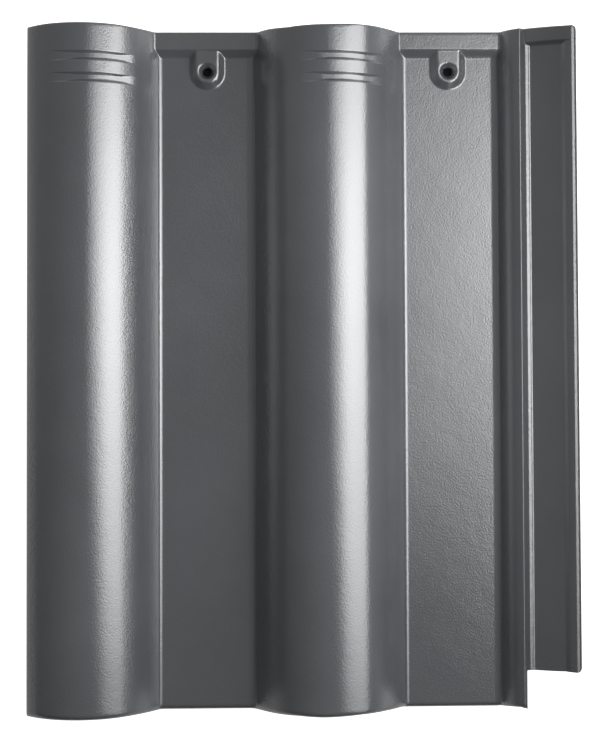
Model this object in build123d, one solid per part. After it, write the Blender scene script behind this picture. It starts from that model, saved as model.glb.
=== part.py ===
from build123d import *
import math
import os

# Interlocking double-roll roof tile, pressed and fired in one piece.
# X runs across the tile, with the under-lapping edge at +X, Y runs from the tail to the
# head, and Z is up. The tile lies on its nibs and weather bars, face up.
# Sizes are in millimetres and angles in degrees.

# Whole tile
length = 420
wall = 10

# Rolls: a crest arc runs into a flank arc on each side, down to the flat pan
roll_count = 2
roll_pitch = 152
roll_height = 36
roll_half_width = 47
flank_spread = 8
shoulder_angle = 42
right_crease_radius = 3.5
left_crease_radius = 9
upstand_crease_radius = 5
under_crease_radius = 6

# Cut side of the first roll, which closes over the under-lap of the tile beside it
lap_edge_to_crest = 32.9
lap_edge_height = 4.9
lap_clearance = 0.8
lap_relief_run = 2
lap_edge_radius = 1.3

# Under-lap: an upstand beside the last pan, then a ledge, a channel and an outer rib
last_pan_width = 58.2
upstand_width = 13
upstand_bulge = 3.2
ridge_fall_width = 3.7
ridge_fall = 3.2
ledge_width = 2
ledge_fall = 0.1
ledge_radius = 2
channel_step_width = 0.5
channel_step = 0.6
channel_radius = 0.6
channel_width = 19.4
channel_rise = 8.2
channel_bulge = 0.6
rib_width = 8.2
rib_step_width = 0.9
rib_step = 1.4
rib_top_width = 2.5
rib_below_crest = 9.4
rib_depth = 12.5
rib_radius = 1.5
under_rib_radius = 2

# The channel is closed at the head, and the under-lap stops short of the tail
head_wall_length = 7.5
head_wall_rise = 1.1
head_wall_bulge = 0.8
under_lap_cut_back = 24.8
cut_back_from_ridge = 1.8

# Band across the head of each pan
band_height = 4.6
band_width = 11
band_slope = 4.3

# Nail lug hanging from each band, at a place from the left side of each pan
lug_places = (29.6, 28.1)
lug_top_width = 13.7
lug_base_width = 23.6
lug_top_reach = 31.5
lug_base_reach = 36.5
nail_hole_from_head = 24.5
nail_hole_diameter = 6
nail_mouth_diameter = 10.6
nail_mouth_depth = 3.2

# Lines pressed across the head of each roll
line_places = (20.1, 33.3)
line_width = 5.8
line_depth = 1.4
line_wall = 1.5
line_reach = 26

# Nibs that hook over the batten
nib_depth = 10
nib_width = 36
nib_from_head = 5
nib_thickness = 12
nib_draft = 2

# Weather bars under the tail of each pan
bar_from_tail = 12
bar_thickness = 9
bar_gap = 15
bar_count = 2
bar_end_gap = 4
bar_draft = 1.5

# Rounding of the outline's corners, and of the face's edge at each end
outline_radius = 3
tail_radius = 3
head_radius = 1.2

# Places across the tile, from the cut edge of the first roll
crest_radius = roll_half_width - flank_spread
crests = [lap_edge_to_crest + n * roll_pitch for n in range(roll_count)]
pan_width = roll_pitch - 2 * roll_half_width
pans = [(crest + roll_half_width, pan_width) for crest in crests]
pans[-1] = (pans[-1][0], last_pan_width)
upstand_foot = pans[-1][0] + last_pan_width
ridge_x = upstand_foot + upstand_width
ledge_x = ridge_x + ridge_fall_width
channel_x = ledge_x + ledge_width + channel_step_width
channel_end = channel_x + channel_width
width = channel_end + rib_width
cover_width = channel_x

# Places along the tile and above the floor
head = length / 2
tail = -length / 2
pan_z = nib_depth + wall


def circle_point(circle, angle):
    """Point of a (centre x, centre z, radius) circle at an angle from straight up."""
    x, z, r = circle
    return x + r * math.sin(angle), z + r * math.cos(angle)


def roll_circles(inset=0):
    """Crest circle and right flank circle of a roll whose crest line is at X 0.

    The flank leaves the crest at the shoulder and passes through the crease with the
    pan. An inset moves both into the wall. Heights are above the pan."""
    shoulder = math.radians(shoulder_angle)
    nx, nz = math.sin(shoulder), math.cos(shoulder)
    crest = (0, roll_height - crest_radius, crest_radius)
    px, pz = circle_point(crest, shoulder)
    dx, dz = roll_half_width - px, -pz
    radius = -(dx * dx + dz * dz) / (2 * (dx * nx + dz * nz))
    flank = (px - radius * nx, pz - radius * nz, radius)
    return (*crest[:2], crest_radius - inset), (*flank[:2], radius - inset)


def flank_angle_at_height(z, inset=0):
    """Angle on the flank circle, from straight up, where it is at a height."""
    _, (_, centre_z, radius) = roll_circles(inset)
    return math.acos((z - centre_z) / radius)


def flank_angle_at_offset(x, inset=0):
    """Angle on the flank circle, from straight up, at a distance from the crest line."""
    _, (centre_x, _, radius) = roll_circles(inset)
    return math.asin((x - centre_x) / radius)


def crest_point(crest_x, side, angle, inset=0):
    """Point of a roll's crest arc, on the side +1 or -1 of its crest line."""
    x, z = circle_point(roll_circles(inset)[0], angle)
    return crest_x + side * x, z


def flank_point(crest_x, side, angle, inset=0):
    """Point of a roll's flank, on the side +1 or -1 of its crest line."""
    x, z = circle_point(roll_circles(inset)[1], angle)
    return crest_x + side * x, z


def flank_arc(crest_x, side, start, end, inset=0):
    """Arc of one flank between two angles."""
    middle = (start + end) / 2
    ThreePointArc(*(flank_point(crest_x, side, a, inset) for a in (start, middle, end)))


def roll_line(crest_x, end, inset=0, direction=1):
    """A roll's surface from one flank to the other, out to the same angle on both."""
    shoulder = math.radians(shoulder_angle)
    flank_arc(crest_x, -direction, end, shoulder, inset)
    ThreePointArc(
        crest_point(crest_x, -direction, shoulder, inset),
        crest_point(crest_x, direction, 0, inset),
        crest_point(crest_x, direction, shoulder, inset),
    )
    flank_arc(crest_x, direction, shoulder, end, inset)


def bulged(start, end, bulge):
    """Arc between two points that stands off their chord by the bulge at its middle."""
    dx, dz = end[0] - start[0], end[1] - start[1]
    run = math.hypot(dx, dz)
    middle = (start[0] + dx / 2 - bulge * dz / run, start[1] + dz / 2 + bulge * dx / run)
    ThreePointArc(start, middle, end)


def under_lap_points():
    """Corners of the under-lap's face, from the ridge to the outer edge.

    The cut edge of the tile beside this one closes over the channel, and the crest of
    that tile's roll over the rib."""
    cut_edge = flank_point(0, -1, flank_angle_at_offset(lap_edge_to_crest))
    channel_z = cut_edge[1] - lap_edge_height - lap_clearance
    ledge_end_z = channel_z + channel_step
    ledge_z = ledge_end_z + ledge_fall
    channel_end_z = channel_z + channel_rise
    rib_z = roll_height - rib_below_crest
    return [
        (ridge_x, ledge_z + ridge_fall),
        (ledge_x, ledge_z),
        (ledge_x + ledge_width, ledge_end_z),
        (channel_x, channel_z),
        (channel_end, channel_end_z),
        (channel_end + rib_step_width, channel_end_z + rib_step),
        (width - rib_top_width, rib_z),
        (width, rib_z),
    ]


def lap_points():
    """Corners under the first roll's cut side, which clears the tile beside it."""
    _, _, _, channel, *_, outer = under_lap_points()
    over_rib = outer[1] + lap_clearance
    rib_end = width - cover_width
    return [
        (rib_end + lap_clearance, over_rib),
        (rib_end - rib_top_width - lap_clearance, over_rib),
        (0, channel[1] + lap_clearance),
    ]


def relief_angle():
    """Angle on the first roll's inner crest arc where the relief of its cut side ends."""
    relief_end = lap_points()[0][0] + lap_relief_run
    return math.asin((lap_edge_to_crest - relief_end) / (crest_radius - wall))


def section():
    """The tile's cross-section, in the plane across it, with heights above the pan."""
    crease = flank_angle_at_height(0)
    cut = flank_angle_at_offset(lap_edge_to_crest)
    under_crease = flank_angle_at_height(-wall, wall)
    shoulder = math.radians(shoulder_angle)
    ridge, ledge, ledge_end, channel, channel_right, step, rib, outer = under_lap_points()
    outer_foot = (width, outer[1] - rib_depth)
    under_ridge = (ridge_x + wall / 2, ridge[1] - wall)
    under_foot = (upstand_foot + wall / 2, -wall)
    lap = lap_points()
    relief = relief_angle()
    cut_edge = flank_point(crests[0], -1, cut)
    with BuildSketch(Plane.XZ) as sketch:
        with BuildLine():
            # The face, from the cut edge to the outer edge
            flank_arc(crests[0], -1, cut, shoulder)
            ThreePointArc(*(crest_point(crests[0], s, shoulder * abs(s)) for s in (-1, 0, 1)))
            flank_arc(crests[0], 1, shoulder, crease)
            for before, crest in zip(crests, crests[1:]):
                Line(flank_point(before, 1, crease), flank_point(crest, -1, crease))
                roll_line(crest, crease)
            Line(flank_point(crests[-1], 1, crease), (upstand_foot, 0))
            bulged((upstand_foot, 0), ridge, upstand_bulge)
            Polyline(ridge, ledge, ledge_end, channel)
            bulged(channel, channel_right, channel_bulge)
            Polyline(channel_right, step, rib, outer, outer_foot, under_ridge, under_foot)
            # The underside, back to the cut edge
            at = under_foot
            for crest in reversed(crests[1:]):
                Line(at, flank_point(crest, 1, under_crease, wall))
                roll_line(crest, under_crease, wall, direction=-1)
                at = flank_point(crest, -1, under_crease, wall)
            Line(at, flank_point(crests[0], 1, under_crease, wall))
            flank_arc(crests[0], 1, under_crease, shoulder, wall)
            over = ((1, shoulder), (1, (shoulder - relief) / 2), (-1, relief))
            ThreePointArc(*(crest_point(crests[0], s, a, wall) for s, a in over))
            Polyline(crest_point(crests[0], -1, relief, wall), *lap, cut_edge)
        make_face()

        def corners(*places):
            return [
                v
                for v in sketch.vertices()
                if any(math.dist((v.X, v.Y), p) < channel_radius / 10 for p in places)
            ]

        right = [flank_point(c, 1, crease) for c in crests]
        left = [flank_point(c, -1, crease) for c in crests[1:]]
        under = [flank_point(crests[0], 1, under_crease, wall)]
        under += [flank_point(c, s, under_crease, wall) for c in crests[1:] for s in (1, -1)]
        fillet(corners(*right), right_crease_radius)
        fillet(corners(*left), left_crease_radius)
        fillet(corners((upstand_foot, 0)), upstand_crease_radius)
        fillet(corners(*under, under_foot, under_ridge), under_crease_radius)
        fillet(corners(ledge), ledge_radius)
        fillet(corners(channel), channel_radius)
        fillet(corners(outer), rib_radius)
        fillet(corners(outer_foot), under_rib_radius)
        fillet(corners(lap[-1]), lap_edge_radius)
    return sketch.sketch


def rounded(tile, at, radius, up_to):
    """The tile with the edge of its face rounded at one end, as far across as a place."""
    face = [f for f in tile.faces() if f.normal_at().Z > 0.1]
    edges = [e for f in face for e in f.edges() if abs(e.center().Y - at) < radius / 10]
    return fillet([e for e in edges if e.center().X < up_to], radius)


def head_wall():
    """Wall that closes the channel at the head."""
    _, ledge, *_, rib, _ = under_lap_points()
    inner = (ledge[0], ledge[1] + head_wall_rise)
    below = -wall / 2
    with BuildSketch(Plane.XZ) as sketch:
        with BuildLine():
            bulged(inner, rib, head_wall_bulge)
            Polyline(
                rib,
                (rib[0], rib[1] + below),
                (inner[0], inner[1] + below),
                (ridge_x, ledge[1]),
                inner,
            )
        make_face()
    return Pos(0, head - head_radius, 0) * extrude(sketch.sketch, amount=head_wall_length)


def outline():
    """The tile's outline in plan, which leaves the under-lap short at the tail."""
    cut_x = ridge_x + cut_back_from_ridge
    cut_y = tail + under_lap_cut_back
    with BuildSketch() as sketch:
        with BuildLine():
            Polyline(
                (0, tail),
                (cut_x, tail),
                (cut_x, cut_y),
                (width, cut_y),
                (width, head),
                (0, head),
                close=True,
            )
        make_face()
        corners = [v for v in sketch.vertices() if v.X > width - 1]
        fillet(corners, outline_radius)
    return extrude(sketch.sketch, amount=2 * roll_height, both=True)


def band(left, run):
    """Raised band across the head of a pan, let into the flanks beside it."""
    root = wall / 2
    with BuildSketch(Plane.YZ) as sketch:
        with BuildLine():
            Polyline(
                (head, -root),
                (head, band_height),
                (head - band_width, band_height),
                (head - band_width - band_slope, 0),
                (head - band_width - band_slope, -root),
                close=True,
            )
        make_face()
    return Pos(left - root, 0, 0) * extrude(sketch.sketch, amount=run + 2 * root)


def lug_outline(across, reach, z):
    """U shape that hangs from the band, round at its foot."""
    r = across / 2
    top, bottom = head - band_width / 2, head - reach + r
    with BuildSketch(Plane.XY.offset(z)) as sketch:
        with BuildLine():
            Polyline((r, bottom), (r, top), (-r, top), (-r, bottom))
            ThreePointArc((-r, bottom), (0, bottom - r), (r, bottom))
        make_face()
    return sketch.sketch


def lug():
    """Nail lug with sloping sides, before its hole."""
    base = lug_outline(lug_base_width, lug_base_reach, 0)
    top = lug_outline(lug_top_width, lug_top_reach, band_height)
    return loft([base, top])


def nail_hole():
    """Hole through the lug and the pan, with a wider mouth."""
    bore = Cylinder(nail_hole_diameter / 2, 2 * (wall + band_height))
    mouth = Cone(nail_hole_diameter / 2, nail_mouth_diameter / 2, nail_mouth_depth)
    mouth = Pos(0, 0, band_height - nail_mouth_depth / 2) * mouth
    return Pos(0, head - nail_hole_from_head, 0) * (bore + mouth)


def pressed_line(crest, place):
    """Shallow line across a roll's crest that fades out towards the flanks."""
    reach_z = crest_point(0, 1, math.asin(line_reach / crest_radius))[1]
    drop = roll_height - line_depth - reach_z
    radius = (line_reach**2 + drop**2) / (2 * drop)
    half_turn = math.degrees(math.asin(line_reach / radius))
    rise = 2 * line_depth
    spread = line_wall * rise / line_depth
    half = line_width / 2 - line_wall
    with BuildSketch(Plane.YZ) as sketch:
        with BuildLine():
            Polyline(
                (-half, radius),
                (half, radius),
                (half + spread, radius + rise),
                (-half - spread, radius + rise),
                close=True,
            )
        make_face()
    ring = revolve(sketch.sketch, Axis.Y, revolution_arc=2 * half_turn)
    centre = Pos(crest, head - place, roll_height - line_depth - radius)
    return centre * Rot(0, -half_turn, 0) * ring


def nib(middle):
    """Nib under the head of a pan. Its upright side bears on the batten."""
    near = head - nib_from_head
    far = near - nib_thickness
    with BuildSketch(Plane.YZ) as sketch:
        with BuildLine():
            Polyline(
                (near, -wall / 2),
                (near, -wall),
                (near - nib_draft, -wall - nib_depth),
                (far, -wall - nib_depth),
                (far, -wall / 2),
                close=True,
            )
        make_face()
    return Pos(middle - nib_width / 2, 0, 0) * extrude(sketch.sketch, amount=nib_width)


def weather_bar(left, run, number):
    """Bar across the underside of a pan, near the tail."""
    near = tail + bar_from_tail + number * (bar_thickness + bar_gap)
    far = near + bar_thickness
    with BuildSketch(Plane.YZ) as sketch:
        with BuildLine():
            Polyline(
                (near, -wall / 2),
                (near, -wall),
                (near + bar_draft, -wall - nib_depth),
                (far - bar_draft, -wall - nib_depth),
                (far, -wall),
                (far, -wall / 2),
                close=True,
            )
        make_face()
    bar = extrude(sketch.sketch, amount=run - 2 * bar_end_gap)
    return Pos(left + bar_end_gap, 0, 0) * bar


def roof_tile():
    """The whole tile, with the middle of its width at X 0 and its nibs down to Z 0."""
    tile = extrude(section(), amount=length / 2, both=True)
    tile = rounded(tile, tail, tail_radius, ridge_x)
    tile = rounded(tile, head, head_radius, ridge_x)
    tile += head_wall()
    tile &= outline()
    for (left, run), lug_place in zip(pans, lug_places):
        tile += band(left, run)
        tile += Pos(left + lug_place, 0, 0) * lug()
        tile -= Pos(left + lug_place, 0, 0) * nail_hole()
        tile += nib(left + run / 2)
        for number in range(bar_count):
            tile += weather_bar(left, run, number)
    for crest in crests:
        for place in line_places:
            tile -= pressed_line(crest, place)
    return Pos(-width / 2, 0, pan_z) * tile


if __name__ == "__main__":
    tile = roof_tile()
    os.makedirs("parts", exist_ok=True)
    export_step(tile, "parts/roof_tile.step")
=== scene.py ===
import bpy
import math
import numpy as np
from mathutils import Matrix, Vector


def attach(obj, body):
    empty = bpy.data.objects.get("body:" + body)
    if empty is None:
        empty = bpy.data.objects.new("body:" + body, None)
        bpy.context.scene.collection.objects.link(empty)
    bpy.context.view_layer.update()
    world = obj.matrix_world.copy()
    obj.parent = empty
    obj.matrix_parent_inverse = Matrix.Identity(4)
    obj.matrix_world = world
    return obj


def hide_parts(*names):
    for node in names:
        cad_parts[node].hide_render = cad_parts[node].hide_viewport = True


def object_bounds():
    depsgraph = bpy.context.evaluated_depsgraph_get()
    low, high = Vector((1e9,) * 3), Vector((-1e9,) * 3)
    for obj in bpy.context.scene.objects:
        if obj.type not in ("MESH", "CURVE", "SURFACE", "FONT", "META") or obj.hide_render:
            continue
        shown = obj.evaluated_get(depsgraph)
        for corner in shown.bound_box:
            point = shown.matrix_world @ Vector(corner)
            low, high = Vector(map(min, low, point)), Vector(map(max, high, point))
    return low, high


# The tile lies face up on a pale floor and the camera looks down on it.
# Lengths are in metres, apart from the tile's own sizes, which are in millimetres.
# Angles are in degrees and colours are linear.

IMAGE_LONG_SIDE = 740
WHITE = (1, 1, 1)

# Camera, looking down, with the tile's head at the top of the picture
CAMERA_AT = (-0.0089, -0.0132, 1.1148)
CAMERA_TURN = (2.0192, -1.2332, -0.2713)
FOCAL_PIXELS = 1759.3
SENSOR = 36
SHIFT_PIXELS = (-26.4, -42.0)

# The tile's sizes. Places across are measured from the cut edge of the first roll, places
# down from the head, and heights from the pan. Most are those of the part's source. Some
# sizes of the upstand, rib, lugs and pressed lines follow the photograph instead.
MM_PER_METRE = 1000
LENGTH = 420
WIDTH = 336.9
PAN_Z = 20
WALL = 10
LEAST_WALL = 0.4

# Rolls and the pans beside them
CRESTS = (32.9, 184.9)
ROLL_HEIGHT = 36
ROLL_HALF_WIDTH = 47
CREST_RADIUS = 39
SHOULDER = 42
PANS = ((79.9, 137.9), (231.9, 290.1))

# Points of the under-lap's face, as (across, height), and how far the arcs between some
# of them bulge
BULGE_POINTS = 60
UPSTAND_FOOT = (290.1, 0)
UPSTAND_BULGE = 1.6
RIDGE = (303.1, 17)
LEDGE = (306.8, 14.3)
LEDGE_END = (308.8, 14.2)
CHANNEL = (309.3, 13.6)
CHANNEL_BULGE = 0.6
CHANNEL_END = (327.9, 21.3)
RIB_STEP = (330.1, 24.4)
RIB = (333.6, 26.6)
OUTER_EDGE = (WIDTH, 26.6)

# Underside of the first roll's cut side and of the under-lap, as (across, height)
LAP_UNDER = ((0, 14.4), (24.3, 27.4), (28.4, 27.4), (30.4, 25.9))
UNDER_LAP = ((295.1, -10), (308.1, 7.5), (336.9, 14.1))

# Corners of the section that are rounded, as (across, radius), hollow or proud
HOLLOWS = (
    (79.9, 3.5),
    (231.9, 3.5),
    (137.9, 7),
    (290.1, 5),
    (306.8, 2),
    (309.3, 0.6),
    (327.9, 0.8),
)
ARRISES = ((303.1, 0.9), (308.8, 0.4), (330.1, 1), (333.6, 0.5))
UNDER_HOLLOWS = ((73.9, 6), (143.9, 6), (225.9, 6), (295.1, 6))
UNDER_ARRISES = ((308.1, 6),)

# How far from its corner a rounding may change the section
ROUNDING_REACH = 1.3
ROUNDING_MARGIN = 0.3

# The under-lap stops short of the tail, from a place across and a place down
CUT_BACK = (304.9, 395.2)

# Rounding of the outline's corners and of the face's edges. The tail edge's radius
# changes along the upstand, as (across, radius).
OUTLINE_RADIUS = 3
HEAD_RADIUS = 1.2
CUT_EDGE_RADIUS = 1.3
OUTER_RADIUS = 1.5
TAIL_RADIUS = 3
TAIL_RADII = ((290.1, 3), (294.1, 2.5), (302.1, 2.5), (303.1, 3))

# Unevenness of the ends, as (across, how far the end is set back)
HEAD_SETBACK = ((148, 0), (160, 1.3), (185, 1.2), (214, 0))
TAIL_SETBACK = (
    (152, 0),
    (165, 0.6),
    (180, 0.4),
    (193, 0.9),
    (203, 1.25),
    (229, 1),
    (232, 0.2),
    (288, 0.3),
    (295, 1.6),
    (301, 2.1),
    (304.9, 1.2),
)
SETBACK_REACH = 20

# Band across the head of each pan, and the nail lugs that hang from it
BAND_HEIGHT = 4.6
BAND_WIDTH = 11
BAND_SLOPE = 4.3
LUGS = (109.5, 260)
LUG_HALF_WIDTH = 6.85
LUG_REACH = 31.5
LUG_SLOPE = 4
LUG_HEIGHT = 3.9
HOLE_DOWN = 24.5
HOLE_RADIUS = 3
MOUTH_RADIUS = 5.3
MOUTH_DEPTH = 3.2

# Pressed lines at the head of each roll, and the share of their depth that they have at
# a place from the crest
LINES_DOWN = (20.1, 33.3)
LINE_HALF_WIDTH = 2.9
LINE_WALL = 1.5
LINE_DEPTH = 1.75
LINE_SHARE = ((-16, 0), (0, 1), (25, 1), (32, 0))
LINE_SOFT = 0.12

# Wall that closes the under-lap's channel at the head. Its line starts at the foot.
HEAD_WALL_FOOT = (305.8, 11.3)
HEAD_WALL_END = 8.7
HEAD_WALL_RISE = 1.1
HEAD_WALL_BULGE = 0.8
HEAD_WALL_SLOPE = 1.6

# Nib under the head of each pan, and the weather bars under its tail
NIB_DEPTH = 10
NIB_MIDDLE = 29
NIB_HALF_WIDTH = 18
NIB_DOWN = (5, 7, 17)
BARS_DOWN = ((375, 384), (399, 408))
BAR_DRAFT = 1.5
BAR_END_GAP = 4
UNDER_DRAFT = 0.3

# Softness of the joins that glaze has run into
SOFT = 1
SOFT_ARRIS = 0.6
SOFT_LUG = 0.5

# Waviness of the pressed clay, made of waves with a direction in radians, a size and a
# phase. The sink keeps all of it below the plain face.
WAVE_HEIGHT = 0.07
WAVE_LENGTH = 70
WAVES = ((0.3, 1, 0.7), (1.4, 0.63, 2.1), (2.4, 0.41, 4.0), (0.9, 0.29, 5.2))
WAVE_SHARE = 0.5
WAVE_SINK = 1.2

# Grid lines of the tile's skin, closer where the relief is finer. The spans are
# (start, end, step). The lines at a lug and a hole are distances from the middle of the
# hole, and those at a rounded edge are shares of its radius. The grid's squares bend
# into rings within the hole square.
ACROSS_SPANS = (
    (CUT_EDGE_RADIUS, 73, 2.1),
    (73, 77.4, 1.1),
    (77.4, 82.4, 0.35),
    (82.4, 94, 3),
    (124, 131.5, 2.5),
    (131.5, 144, 0.7),
    (144, 225, 2.2),
    (225, 229.4, 1.1),
    (229.4, 234.4, 0.35),
    (234.4, 246, 3),
    (275, 284, 3),
    (284, 296, 0.55),
    (296, 302, 0.8),
    (302, 304.4, 0.24),
    (304.9, 306, 0.55),
    (306, 310.2, 0.2),
    (310.2, 327, 1.6),
    (327, 331.2, 0.3),
    (331.2, 333.6, 0.8),
    (333.6, WIDTH - OUTER_RADIUS, 0.3),
)
DOWN_SPANS = (
    (HEAD_RADIUS, 9.8, 1.4),
    (8.4, 9.8, 0.25),
    (9.8, 17.9, 0.45),
    (17, 19, 0.3),
    (21.2, 23.2, 0.3),
    (28.9, 30.2, 0.55),
    (30.2, 32.2, 0.3),
    (32.2, 34.4, 0.55),
    (34.4, 36.5, 0.3),
    (36.5, 38, 0.5),
    (38, 42, 1),
    (42, 391, 7),
    (391, 395.2, 0.6),
    (395.2, 408, 3.2),
    (408, LENGTH - TAIL_RADIUS, 1),
)
LUG_SIDE_SPAN = (7.5, 12.5, 0.5)
HOLE_LINES = (0, 0.75, 1.5, 2.25, 3, 3.4, 4.1, 4.8, 5.3, 5.8, 6.4, 7)
HOLE_SQUARE = 7
GRID_DECIMALS = 3
EDGE_SHARES = (0, 0.04, 0.17, 0.4, 0.7, 1)

# Places across at which the section is worked out
PROFILE_STEP = 0.05
ACROSS = np.arange(0, WIDTH + PROFILE_STEP / 2, PROFILE_STEP)

# Faces that meet at more than this angle have a sharp edge between them
SHARP_ANGLE = 70

# Small amounts that keep sums away from zero and take up rounding
TINY = 1e-6
CORNER_SLACK = 0.001
CUT_BACK_SLACK = 0.1

# Glaze over a slate-grey body, whose colour is clouded, as (share of the noise, colour)
GREY = (0.055, 0.058, 0.063)
GREY_PALE = (0.064, 0.067, 0.072)
GREY_DEEP = (0.047, 0.050, 0.054)
CLOUD_SIZE = 0.09
CLOUD_STOPS = ((0.3, GREY_DEEP), (0.5, GREY), (0.72, GREY_PALE))
BODY_ROUGHNESS = 0.2
COAT_ROUGHNESS = 0.08
GLAZE_IOR = 1.6

# Grain of the glaze, as the size of its grains and the height of its relief
SAND_SIZE = 0.0011
SAND_HEIGHT = 0.00011
PEEL_SIZE = 0.006
PEEL_HEIGHT = 0.00006

# Curved panel that stands to the right of the tile and arches in over it, as the
# (across, up, brightness) of its line and the (along, brightness) of its length
PANEL_LINE = (
    (0.172, 0.093, 0.35),
    (0.174, 0.100, 0.75),
    (0.181, 0.130, 0.88),
    (0.195, 0.170, 0.94),
    (0.215, 0.240, 1.00),
    (0.236, 0.340, 1.00),
    (0.245, 0.460, 0.90),
    (0.225, 0.620, 0.66),
    (0.170, 0.760, 0.38),
    (0.110, 0.840, 0.26),
    (0.050, 0.890, 0.13),
)
PANEL_LENGTH = (
    (-0.36, 0.08),
    (-0.25, 0.25),
    (-0.17, 0.53),
    (-0.10, 0.68),
    (-0.02, 0.86),
    (0.06, 1.00),
    (0.15, 0.96),
    (0.22, 0.77),
    (0.32, 0.62),
)
PANEL_STRENGTH = 7.6

# The panel is shifted towards the head between two heights
PANEL_SHIFT = 0.09
PANEL_SHIFT_UP = (0.45, 0.76)

# Light all round, which fades towards the tail where it comes from the side
WORLD_STRENGTH = 0.31
WORLD_FADE = 2.2
WORLD_LEAST = 0.4

# Floor. The camera sees it as paper white, apart from a darker part that shows through
# the nail holes. That part is painted shade, a darker floor colour under the tile. It is
# the tile's box less a lip, shifted for the slanting view.
FLOOR_COLOR = (0.82, 0.82, 0.82)
FLOOR_PAINTED_SHADE = (0.25, 0.25, 0.25)
FLOOR_SIZE = 12
FLOOR_LIP = 0.02
FLOOR_SHIFT = (0, 0.006, 0)


def opaque(color):
    """A colour with the fourth value that Blender's sockets take."""
    return (*color, 1)


def add_node(tree, kind, inputs=(), **settings):
    """A node of a kind, with its settings and the values or links of its inputs."""
    node = tree.nodes.new(kind)
    for name, value in settings.items():
        setattr(node, name, value)
    for name, value in dict(inputs).items():
        if isinstance(value, bpy.types.NodeSocket):
            tree.links.new(value, node.inputs[name])
        else:
            node.inputs[name].default_value = value
    return node


def node_material(name, surface):
    """A material with the surface that a function builds in its node tree."""
    mat = bpy.data.materials.new(name)
    mat.use_nodes = True
    tree = mat.node_tree
    tree.nodes.clear()
    add_node(tree, "ShaderNodeOutputMaterial", {"Surface": surface(tree)})
    return mat


def math_node(tree, operation, first, second):
    """The outcome of a sum on two values or links."""
    node = add_node(tree, "ShaderNodeMath", {0: first, 1: second}, operation=operation)
    return node.outputs["Value"]


def vector_node(tree, operation, *inputs):
    """The outcome of a sum on vectors or links."""
    kind = "ShaderNodeVectorMath"
    return add_node(tree, kind, enumerate(inputs), operation=operation).outputs["Vector"]


def noise(tree, place, size, detail, roughness):
    """Noise from 0 to 1 whose features are about a size across."""
    settings = {"Vector": place, "Scale": 1 / size, "Detail": detail, "Roughness": roughness}
    return add_node(tree, "ShaderNodeTexNoise", settings).outputs["Fac"]


def ramp(tree, value, stops):
    """A colour ramp through (position, colour) stops."""
    node = add_node(tree, "ShaderNodeValToRGB", {"Fac": value})
    band = node.color_ramp
    while len(band.elements) < len(stops):
        band.elements.new(1)
    for element, (position, color) in zip(band.elements, stops):
        element.position = position
        element.color = opaque(color)
    return node.outputs["Color"]


def relief(tree, height, depth, normal=None):
    """A bump of a depth in metres, on top of another bump where that is given."""
    inputs = {"Height": height, "Distance": depth, "Strength": 1}
    if normal is not None:
        inputs["Normal"] = normal
    return add_node(tree, "ShaderNodeBump", inputs).outputs["Normal"]


def glaze(tree):
    """Glossy slate-grey glaze with a sandy grain and a slightly uneven colour."""
    place = add_node(tree, "ShaderNodeTexCoord").outputs["Object"]
    cloud = noise(tree, place, CLOUD_SIZE, detail=3, roughness=0.55)
    peel_noise = noise(tree, place, PEEL_SIZE, detail=1, roughness=0.5)
    peel = relief(tree, peel_noise, PEEL_HEIGHT)
    sand_noise = noise(tree, place, SAND_SIZE, detail=2, roughness=0.6)
    sand = relief(tree, sand_noise, SAND_HEIGHT, peel)
    inputs = {
        "Base Color": ramp(tree, cloud, CLOUD_STOPS),
        "Roughness": BODY_ROUGHNESS,
        "IOR": GLAZE_IOR,
        "Coat Weight": 1,
        "Coat Roughness": COAT_ROUGHNESS,
        "Coat IOR": GLAZE_IOR,
        "Normal": sand,
        "Coat Normal": sand,
    }
    return add_node(tree, "ShaderNodeBsdfPrincipled", inputs).outputs["BSDF"]


def floor_paint(tree):
    """Matt white that the camera sees as paper white, except under the tile, where a painted
    shade darkens its colour.
    """
    camera_ray = add_node(tree, "ShaderNodeLightPath").outputs["Is Camera Ray"]
    place = add_node(tree, "ShaderNodeTexCoord").outputs["Object"]
    shifted = vector_node(tree, "SUBTRACT", place, FLOOR_SHIFT)
    away = {"Vector": vector_node(tree, "ABSOLUTE", shifted)}
    axes = add_node(tree, "ShaderNodeSeparateXYZ", away).outputs
    past_side, past_end = (
        math_node(tree, "GREATER_THAN", axes[axis], half - FLOOR_LIP)
        for axis, half in zip("XY", cad_box[1])
    )
    open_floor = math_node(tree, "MAXIMUM", past_side, past_end)
    level = math_node(tree, "MULTIPLY", camera_ray, open_floor)
    # Painted shade: the floor's colour is darker under the tile's box, less its lip
    color = ramp(tree, open_floor, [(0, FLOOR_PAINTED_SHADE), (1, FLOOR_COLOR)])
    paint = add_node(tree, "ShaderNodeBsdfDiffuse", {"Color": color})
    glow = {"Color": opaque(WHITE), "Strength": level}
    lift = add_node(tree, "ShaderNodeEmission", glow)
    both = {0: paint.outputs["BSDF"], 1: lift.outputs["Emission"]}
    return add_node(tree, "ShaderNodeAddShader", both).outputs["Shader"]


def panel_glow(tree):
    """Light as bright as the panel's corners say."""
    level = add_node(tree, "ShaderNodeAttribute", attribute_name="glow").outputs["Fac"]
    strength = math_node(tree, "MULTIPLY", level, PANEL_STRENGTH)
    return add_node(tree, "ShaderNodeEmission", {"Strength": strength}).outputs["Emission"]


def studio_sheet(name, points, faces, surface):
    """A mesh object that belongs to the studio."""
    mesh = bpy.data.meshes.new(name)
    mesh.from_pydata(points, [], faces)
    mesh.materials.append(node_material(name, surface))
    sheet = bpy.data.objects.new(name, mesh)
    bpy.context.scene.collection.objects.link(sheet)
    return sheet


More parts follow.
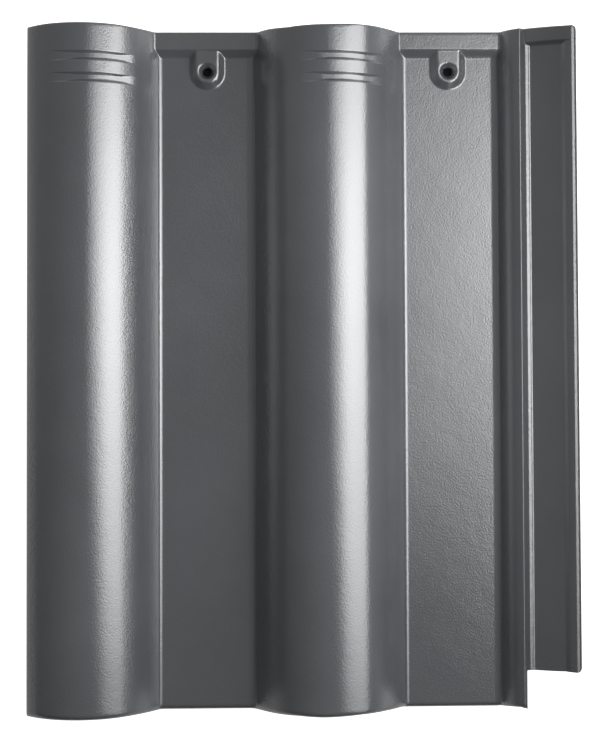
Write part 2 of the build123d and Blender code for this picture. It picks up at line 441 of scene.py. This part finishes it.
def panel():
    """Curved glowing sheet whose brightness is painted on its corners."""
    points = [
        (x, y + PANEL_SHIFT * float(ramp_up(z, *PANEL_SHIFT_UP)), z)
        for x, z, _ in PANEL_LINE
        for y, _ in PANEL_LENGTH
    ]
    row = len(PANEL_LENGTH)
    faces = [
        (n, n + 1, n + row + 1, n + row)
        for n in range(len(points) - row)
        if (n + 1) % row
    ]
    sheet = studio_sheet("panel", points, faces, panel_glow)
    levels = [up * along for *_, up in PANEL_LINE for _, along in PANEL_LENGTH]
    sheet.data.attributes.new("glow", "FLOAT", "POINT").data.foreach_set("value", levels)
    sheet.visible_camera = False
    sheet.visible_shadow = False


def studio():
    """Floor, panel and world."""
    half = FLOOR_SIZE / 2
    corners = [(-half, -half, 0), (half, -half, 0), (half, half, 0), (-half, half, 0)]
    studio_sheet("floor", corners, [(0, 1, 2, 3)], floor_paint)
    panel()

    world = bpy.data.worlds.new("studio")
    world.use_nodes = True
    tree = world.node_tree
    toward = add_node(tree, "ShaderNodeTexCoord").outputs["Generated"]
    axes = add_node(tree, "ShaderNodeSeparateXYZ", {"Vector": toward}).outputs
    low = math_node(tree, "SUBTRACT", 1, axes["Z"])
    low_end = math_node(tree, "MULTIPLY", low, axes["Y"])
    fade = math_node(tree, "MULTIPLY", low_end, WORLD_FADE)
    level = math_node(tree, "MAXIMUM", math_node(tree, "ADD", 1, fade), WORLD_LEAST)
    background = tree.nodes["Background"]
    background.inputs["Color"].default_value = opaque(WHITE)
    strength = math_node(tree, "MULTIPLY", level, WORLD_STRENGTH)
    tree.links.new(strength, background.inputs["Strength"])
    bpy.context.scene.world = world


def camera():
    """Camera at the photograph's place."""
    data = bpy.data.cameras.new("camera")
    data.sensor_width = SENSOR
    data.lens = SENSOR * FOCAL_PIXELS / IMAGE_LONG_SIDE
    data.shift_x, data.shift_y = (pixels / IMAGE_LONG_SIDE for pixels in SHIFT_PIXELS)
    obj = bpy.data.objects.new("camera", data)
    obj.location = CAMERA_AT
    obj.rotation_euler = [math.radians(angle) for angle in CAMERA_TURN]
    bpy.context.scene.collection.objects.link(obj)
    bpy.context.scene.camera = obj


def ramp_up(value, start, end):
    """0 before a start, 1 past an end, and straight between."""
    return np.clip((value - start) / (end - start), 0, 1)


def along(places, table):
    """Values at places, straight between the (place, value) points of a table."""
    return np.interp(places, *np.array(table).T)


def soft_max(a, b, soft):
    """The higher of two heights, with a hollow where they meet."""
    return np.maximum(a, b) + np.clip(soft - np.abs(a - b), 0, None) ** 2 / (4 * soft)


def soft_min(a, b, soft):
    """The lower of two heights, with a rounding where they meet."""
    return -soft_max(-a, -b, soft)


def flank_circle():
    """Centre and radius of a roll's right flank, which leaves the crest at the shoulder."""
    shoulder = math.radians(SHOULDER)
    nx, nz = math.sin(shoulder), math.cos(shoulder)
    px, pz = CREST_RADIUS * nx, ROLL_HEIGHT - CREST_RADIUS + CREST_RADIUS * nz
    dx, dz = ROLL_HALF_WIDTH - px, -pz
    radius = -(dx * dx + dz * dz) / (2 * (dx * nx + dz * nz))
    return px - radius * nx, pz - radius * nz, radius


def roll_height(offset, inset=0):
    """Height of a roll, or of its underside at an inset, at a distance from its crest."""
    away = np.abs(offset)
    crest_radius = CREST_RADIUS - inset
    x, z, radius = flank_circle()
    crest = ROLL_HEIGHT - CREST_RADIUS + np.sqrt(np.clip(crest_radius**2 - away**2, 0, None))
    flank = z + np.sqrt(np.clip((radius - inset) ** 2 - (away - x) ** 2, 0, None))
    return np.where(away < crest_radius * math.sin(math.radians(SHOULDER)), crest, flank)


def bulged(start, end, bulge):
    """Points of an arc that stands off its chord by the bulge at its middle."""
    run = math.dist(start, end)
    radius = (run**2 / 4 + bulge**2) / (2 * bulge)
    chord = np.linspace(-run / 2, run / 2, BULGE_POINTS)
    rise = np.sqrt(radius**2 - chord**2) - (radius - bulge)
    dx, dz = (end[0] - start[0]) / run, (end[1] - start[1]) / run
    chord = chord + run / 2
    return np.stack([start[0] + chord * dx - rise * dz, start[1] + chord * dz + rise * dx], 1)


def rolled(profile, radius):
    """A profile after a ball of a radius has rolled over it, which fills its hollows."""
    count = int(radius / PROFILE_STEP)
    reach = np.arange(-count, count + 1) * PROFILE_STEP
    cap = np.sqrt(np.clip(radius**2 - reach**2, 0, None))
    windows = np.lib.stride_tricks.sliding_window_view
    upper = (windows(np.pad(profile, count, mode="edge"), 2 * count + 1) + cap).max(1)
    return (windows(np.pad(upper, count, mode="edge"), 2 * count + 1) - cap).min(1)


def rounded(profile, hollows, arrises):
    """A profile with some of its corners rounded."""
    for corners, sign in ((hollows, 1), (arrises, -1)):
        for at, radius in corners:
            near = np.abs(ACROSS - at) < ROUNDING_REACH * radius + ROUNDING_MARGIN
            profile = np.where(near, sign * rolled(sign * profile, radius), profile)
    return profile


def face_profile():
    """Heights of the face across the tile."""
    pan = np.zeros_like(ACROSS)
    rolls = np.maximum.reduce([pan] + [roll_height(ACROSS - crest) for crest in CRESTS])
    lap = np.vstack(
        [
            bulged(UPSTAND_FOOT, RIDGE, UPSTAND_BULGE),
            [LEDGE, LEDGE_END],
            bulged(CHANNEL, CHANNEL_END, CHANNEL_BULGE),
            [RIB_STEP, RIB, OUTER_EDGE],
        ]
    )
    profile = np.where(ACROSS > UPSTAND_FOOT[0], along(ACROSS, lap), rolls)
    return rounded(profile, HOLLOWS, ARRISES)


def under_profile():
    """Heights of the underside across the tile."""
    pan = np.full_like(ACROSS, -WALL)
    rolls = [roll_height(ACROSS - crest, WALL) for crest in CRESTS]
    profile = np.maximum.reduce([pan] + rolls)
    profile = np.where(ACROSS < LAP_UNDER[-1][0], along(ACROSS, LAP_UNDER), profile)
    profile = np.where(ACROSS > UNDER_LAP[0][0], along(ACROSS, UNDER_LAP), profile)
    return rounded(profile, UNDER_HOLLOWS, UNDER_ARRISES)


def wave(u, v):
    """Slight unevenness of the pressed clay, which only lowers it."""
    total = 0
    for turn, stretch, phase in WAVES:
        across = (u * math.cos(turn) + v * math.sin(turn)) / (WAVE_LENGTH * stretch)
        total = total + stretch * np.sin(2 * math.pi * across + phase)
    return WAVE_HEIGHT * (total * WAVE_SHARE - WAVE_SINK)


def with_band(z, v):
    """Heights with the band across the head of each pan."""
    slope = BAND_HEIGHT * (BAND_WIDTH + BAND_SLOPE - v) / BAND_SLOPE
    return soft_max(z, soft_min(slope, BAND_HEIGHT, SOFT_ARRIS), SOFT)


def with_lug(z, u, v, lug):
    """Heights with a nail lug and the mouth of its hole."""
    foot = LUG_REACH - LUG_HALF_WIDTH
    side = np.where(v < foot, np.abs(u - lug), np.hypot(u - lug, v - foot))
    fall = LUG_HEIGHT * (1 - (side - LUG_HALF_WIDTH) / LUG_SLOPE)
    near = np.abs(u - lug) < 2 * LUG_HALF_WIDTH + LUG_SLOPE
    raised = soft_min(fall, LUG_HEIGHT, SOFT_ARRIS)
    z = np.where(near, soft_max(z, raised, SOFT_LUG), z)
    mouth = (np.hypot(u - lug, v - HOLE_DOWN) - HOLE_RADIUS) / (MOUTH_RADIUS - HOLE_RADIUS)
    cone = LUG_HEIGHT + MOUTH_DEPTH * (mouth - 1)
    return soft_min(z, cone, SOFT_ARRIS)


def with_pressed_lines(z, u, v, crest):
    """Heights with the lines that are pressed into the head of a roll."""
    deep = along(u - crest, LINE_SHARE)
    soft = LINE_SOFT * deep + TINY
    for down in LINES_DOWN:
        side = (np.abs(v - down) - LINE_HALF_WIDTH) / LINE_WALL * LINE_DEPTH
        z = z + soft_min(soft_max(side, -LINE_DEPTH * deep, soft), 0, soft)
    return z


def with_head_wall(z, u, v):
    """Heights with the wall that closes the under-lap's channel at the head."""
    start = (LEDGE[0], LEDGE[1] + HEAD_WALL_RISE)
    line = np.vstack([[HEAD_WALL_FOOT], bulged(start, RIB, HEAD_WALL_BULGE)])
    top = along(u, line) - HEAD_WALL_SLOPE * np.clip(v - HEAD_WALL_END, 0, None)
    return np.where(u > HEAD_WALL_FOOT[0], soft_max(z, top, SOFT_ARRIS), z)


def edge_drop(away, radius):
    """How far a rounded edge falls at a distance from the outline."""
    inner = np.clip(radius - away, 0, radius)
    return radius - np.sqrt(radius**2 - inner**2)


def face_height(u, v):
    """Height of the face at places across and down."""
    z = np.interp(u, ACROSS, face_profile()) + wave(u, v)
    z = with_band(z, v)
    for lug in LUGS:
        z = with_lug(z, u, v, lug)
    for crest in CRESTS:
        z = with_pressed_lines(z, u, v, crest)
    z = with_head_wall(z, u, v)
    z = z - edge_drop(v, HEAD_RADIUS) - edge_drop(u, CUT_EDGE_RADIUS)
    z = z - edge_drop(WIDTH - u, OUTER_RADIUS)
    return z - np.where(u < CUT_BACK[0], edge_drop(LENGTH - v, along(u, TAIL_RADII)), 0)


def under_height(u, v):
    """Height of the underside, with its nibs and weather bars."""
    z = np.interp(u, ACROSS, under_profile())
    near, bearing, far = NIB_DOWN
    for left, right in PANS:
        aside = np.abs(u - left - NIB_MIDDLE)
        across = 1 - ramp_up(aside, NIB_HALF_WIDTH - UNDER_DRAFT, NIB_HALF_WIDTH)
        down = ramp_up(v, near, bearing) * (1 - ramp_up(v, far - UNDER_DRAFT, far))
        z = z - NIB_DEPTH * across * down
        first, last = left + BAR_END_GAP, right - BAR_END_GAP
        across = ramp_up(u, first, first + UNDER_DRAFT)
        across = across * (1 - ramp_up(u, last - UNDER_DRAFT, last))
        for start, end in BARS_DOWN:
            down = ramp_up(v, start, start + BAR_DRAFT)
            down = down * (1 - ramp_up(v, end - BAR_DRAFT, end))
            z = z - NIB_DEPTH * across * down
    return z


def grid_lines(parts):
    """Grid lines in order, without those that fall together."""
    return np.unique(np.round(np.concatenate(parts), GRID_DECIMALS))


def span_lines(spans):
    """Grid lines through spans of (start, end, step), with both ends of each."""
    counts = [max(2, round((end - start) / step) + 1) for start, end, step in spans]
    return grid_lines([np.linspace(*span[:2], count) for span, count in zip(spans, counts)])


def tile_grid():
    """Places across and down of the grid's lines."""
    edge = np.array(EDGE_SHARES)
    hole = np.array(HOLE_LINES)
    hole = np.concatenate([-hole, hole])
    beside = span_lines([LUG_SIDE_SPAN])
    across = [
        span_lines(ACROSS_SPANS),
        edge * CUT_EDGE_RADIUS,
        WIDTH - edge * OUTER_RADIUS,
        [LEDGE[0], LEDGE_END[0], CHANNEL[0]],
    ]
    across += [lug + np.concatenate([hole, beside, -beside]) for lug in LUGS]
    for left, right in PANS:
        middle = left + NIB_MIDDLE
        for at in (middle - NIB_HALF_WIDTH, left + BAR_END_GAP):
            across.append([at, at + UNDER_DRAFT])
        for at in (middle + NIB_HALF_WIDTH, right - BAR_END_GAP):
            across.append([at - UNDER_DRAFT, at])
    down = [
        span_lines(DOWN_SPANS),
        edge * HEAD_RADIUS,
        LENGTH - edge * TAIL_RADIUS,
        HOLE_DOWN + hole,
        [*NIB_DOWN, NIB_DOWN[-1] - UNDER_DRAFT],
    ]
    for start, end in BARS_DOWN:
        down.append([start, start + BAR_DRAFT, end - BAR_DRAFT, end])
    return grid_lines(across), grid_lines(down)


def around_holes(u, v):
    """The grid bent so that its squares round each nail hole become rings."""
    for lug in LUGS:
        du, dv = u - lug, v - HOLE_DOWN
        square = np.maximum(np.abs(du), np.abs(dv))
        ring = square / np.maximum(np.hypot(du, dv), TINY)
        pull = np.clip((HOLE_SQUARE - square) / (HOLE_SQUARE - MOUTH_RADIUS), 0, 1)
        scale = 1 + (ring - 1) * pull
        u, v = lug + du * scale, HOLE_DOWN + dv * scale
    return u, v


def round_corners(u, v):
    """The grid drawn in at the two corners of the outline on the right."""
    r = OUTLINE_RADIUS
    most = 1 + CORNER_SLACK
    cu = WIDTH - r
    for cv, end in ((r, -1), (CUT_BACK[1] - r, 1)):
        a, b = (u - cu) / r, end * (v - cv) / r
        inside = (a > 0) & (b > 0) & (a <= most) & (b <= most)
        a, b = np.clip(a, 0, 1), np.clip(b, 0, 1)
        new_u = cu + r * a * np.sqrt(1 - b**2 / 2)
        new_v = cv + end * r * b * np.sqrt(1 - a**2 / 2)
        u, v = np.where(inside, new_u, u), np.where(inside, new_v, v)
    return u, v


def uneven_ends(u, v):
    """The grid drawn in at its ends where the tile's own ends are uneven."""
    head = along(u, HEAD_SETBACK) * ramp_up(SETBACK_REACH - v, 0, SETBACK_REACH)
    tail = np.where(u < CUT_BACK[0] + CUT_BACK_SLACK, along(u, TAIL_SETBACK), 0)
    return u, v + head - tail * ramp_up(v, LENGTH - SETBACK_REACH, LENGTH)


def kept_squares(u, v):
    """Which squares of the grid belong to the tile, clear of the cut-back and the holes."""
    u, v = ((at[1:, 1:] + at[:-1, :-1]) / 2 for at in (u, v))
    kept = ~((u > CUT_BACK[0]) & (v > CUT_BACK[1]))
    for lug in LUGS:
        kept &= np.maximum(np.abs(u - lug), np.abs(v - HOLE_DOWN)) > HOLE_RADIUS
    return kept


def skin_faces(kept):
    """Faces on the top, the bottom and the edges of the kept squares of the grid, with
    the number of those that aren't edges."""
    rows, columns = kept.shape
    count = (rows + 1) * (columns + 1)
    number = np.arange(count).reshape(rows + 1, columns + 1)
    corner = [number[:-1, :-1], number[:-1, 1:], number[1:, 1:], number[1:, :-1]]
    top = np.stack(corner, -1)[kept]
    faces = [top, top[:, ::-1] + count]
    padded = np.pad(kept, 1)
    sides = (
        (padded[:-2, 1:-1], 0, 1),
        (padded[1:-1, 2:], 1, 2),
        (padded[2:, 1:-1], 2, 3),
        (padded[1:-1, :-2], 3, 0),
    )
    for beside, first, second in sides:
        edge = kept & ~beside
        a, b = corner[first][edge], corner[second][edge]
        faces.append(np.stack([b, a, a + count, b + count], -1))
    return np.concatenate(faces), 2 * len(top)


def tile_mesh():
    """The tile as one closed skin: face, underside and the edges between them."""
    u, v = np.meshgrid(*tile_grid(), indexing="ij")
    faces, flat_count = skin_faces(kept_squares(u, v))
    u, v = around_holes(u, v)
    under = under_height(u, v)
    face = np.maximum(face_height(u, v), under + LEAST_WALL)
    u, v = uneven_ends(*round_corners(u, v))
    layers = [np.stack([u - WIDTH / 2, LENGTH / 2 - v, z + PAN_Z], -1) for z in (face, under)]
    points = np.concatenate([layer.reshape(-1, 3) for layer in layers])
    points = points / MM_PER_METRE
    smooth = np.arange(len(faces)) < flat_count
    used, faces = np.unique(faces, return_inverse=True)
    mesh = bpy.data.meshes.new("glazed_tile")
    mesh.from_pydata(points[used].tolist(), [], faces.reshape(-1, 4).tolist())
    mesh.polygons.foreach_set("use_smooth", smooth)
    mesh.set_sharp_from_angle(angle=math.radians(SHARP_ANGLE))
    return mesh


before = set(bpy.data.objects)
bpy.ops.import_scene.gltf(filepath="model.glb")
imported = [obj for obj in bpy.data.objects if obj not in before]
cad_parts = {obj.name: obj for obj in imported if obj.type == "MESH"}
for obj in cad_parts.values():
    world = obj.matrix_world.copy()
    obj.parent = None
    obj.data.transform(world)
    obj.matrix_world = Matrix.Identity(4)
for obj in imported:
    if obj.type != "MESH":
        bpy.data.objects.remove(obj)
cad_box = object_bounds()

tile = bpy.data.objects.new("glazed_tile", tile_mesh())
bpy.context.scene.collection.objects.link(tile)
tile.data.materials.append(node_material("glaze", glaze))
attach(tile, "root")
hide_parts("roof_tile")

studio()
camera()
bpy.context.scene.view_settings.view_transform = "Standard"
